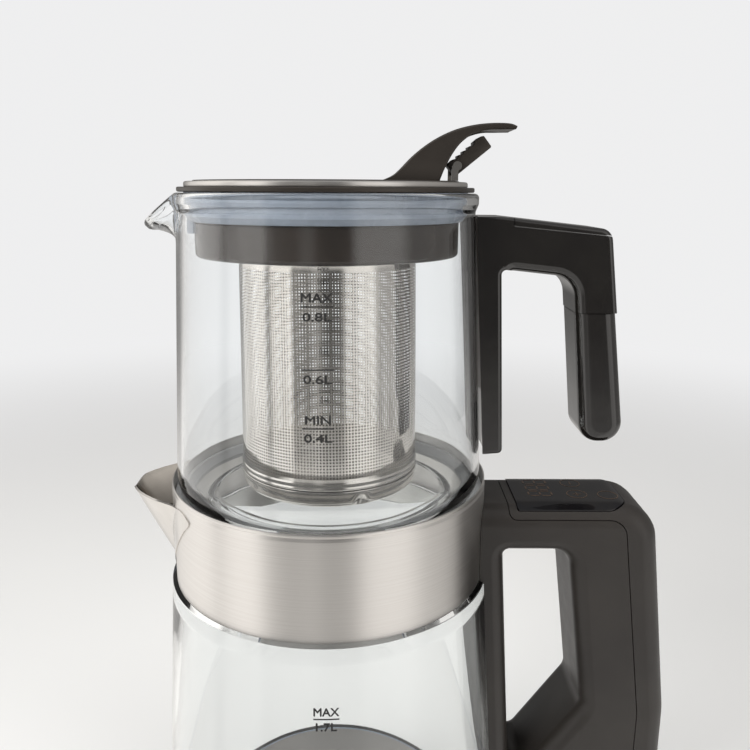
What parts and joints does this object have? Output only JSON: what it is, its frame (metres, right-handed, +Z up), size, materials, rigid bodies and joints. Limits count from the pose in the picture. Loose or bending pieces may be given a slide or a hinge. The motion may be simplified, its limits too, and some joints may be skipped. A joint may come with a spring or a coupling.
{
  "type": "automatic tea maker",
  "caption": "Two-tier automatic tea maker: a glass teapot with a tea basket in its lid stands in the mouth of a glass electric kettle on a round power base.",
  "frame": {"origin": "on the kettle's axis, at the table surface under the power base's foot ring", "axes": "+Z up along the shared axis of kettle and teapot, +X towards both handles, -X towards both spouts, -Y is the side with the volume marks"},
  "size_m": [0.2265, 0.159, 0.3699],
  "materials": {
    "kettle_glass": "clear borosilicate glass, polished",
    "teapot_glass": "clear borosilicate glass, polished",
    "brushed_steel": "stainless steel brushed round the axis",
    "polished_steel": "mirror polished stainless steel",
    "basket_steel": "polished perforated stainless steel",
    "handle_plastic": "fine satin texture, warm dark grey",
    "gloss_black": "polished black",
    "panel_black": "glossy touch panel, bevelled edge",
    "lid_plastic": "satin, warm dark grey",
    "inner_plastic": "plain moulded",
    "clear_silicone": "translucent bluish silicone",
    "foot_rubber": "soft matte rubber",
    "contact_brass": "plain",
    "screw_steel": "zinc plated",
    "spreader_aluminium": "cast",
    "element_steel": "oxidised",
    "board_green": "solder mask"
  },
  "bodies": {
    "base": {"base_shell": "handle_plastic", "base_bottom_plate": "inner_plastic", "base_foot_ring": "foot_rubber", "base_screws": "screw_steel", "base_coupler": "inner_plastic", "base_contacts": "contact_brass", "base_terminal_block": "inner_plastic", "base_cord_inlet": "foot_rubber"},
    "kettle": {"kettle_housing": "handle_plastic", "kettle_bottom_cover": "inner_plastic", "kettle_bottom_screws": "screw_steel", "heating_plate": "brushed_steel", "glass_foot_seal": "clear_silicone", "heat_spreader": "spreader_aluminium", "heating_element": "element_steel", "temperature_probe": "polished_steel", "kettle_plug": "inner_plastic", "kettle_plug_pins": "contact_brass", "thermal_cutouts": "element_steel", "kettle_glass": "kettle_glass", "collar": "brushed_steel", "mouth_seat": "clear_silicone", "kettle_spout": "polished_steel", "handle_cover": "handle_plastic", "handle_shell": "handle_plastic", "touch_panel": "panel_black", "control_board": "board_green", "display_module": "inner_plastic", "touch_contacts": "contact_brass", "control_ribbon": "inner_plastic"},
    "teapot": {"teapot_glass": "teapot_glass", "teapot_handle_cap": "gloss_black", "teapot_handle": "gloss_black", "teapot_grip": "gloss_black", "teapot_handle_screw": "screw_steel", "teapot_handle_bond": "inner_plastic"},
    "lid": {"lid_base": "lid_plastic", "lid_trim_ring": "brushed_steel", "lid_top": "lid_plastic", "lid_seal": "clear_silicone", "lid_skirt": "lid_plastic", "lid_fin": "lid_plastic", "lever_posts": "polished_steel", "lever_pin": "polished_steel"},
    "lever": {"release_lever": "lid_plastic"},
    "basket": {"tea_basket": "basket_steel"},
    "basket_cap": {"tea_basket_cap": "polished_steel"}
  },
  "joints": [
    {"name": "kettle_lift", "type": "slide", "parent": "base", "child": "kettle", "axis": [0, 0, 1], "range_m": [0, 0.08]},
    {"name": "teapot_lift", "type": "slide", "parent": "kettle", "child": "teapot", "axis": [0, 0, 1], "range_m": [0, 0.06]},
    {"name": "lid_lift", "type": "slide", "parent": "teapot", "child": "lid", "axis": [0, 0, 1], "range_m": [0, 0.12]},
    {"name": "lever_squeeze", "type": "hinge", "parent": "lid", "child": "lever", "pos_m": [0.0489, 0, 0.3545], "axis": [0, -1, 0], "range_deg": [0, 9], "stiffness_Nm_per_rad": 0.05, "springref_deg": -5.73},
    {"name": "basket_twist", "type": "hinge", "parent": "lid", "child": "basket", "pos_m": [0, 0, 0.322], "axis": [0, 0, 1], "range_deg": [0, 30]},
    {"name": "basket_cap_twist", "type": "hinge", "parent": "basket", "child": "basket_cap", "pos_m": [0, 0, 0.234], "axis": [0, 0, 1], "range_deg": [0, 25]}
  ]
}
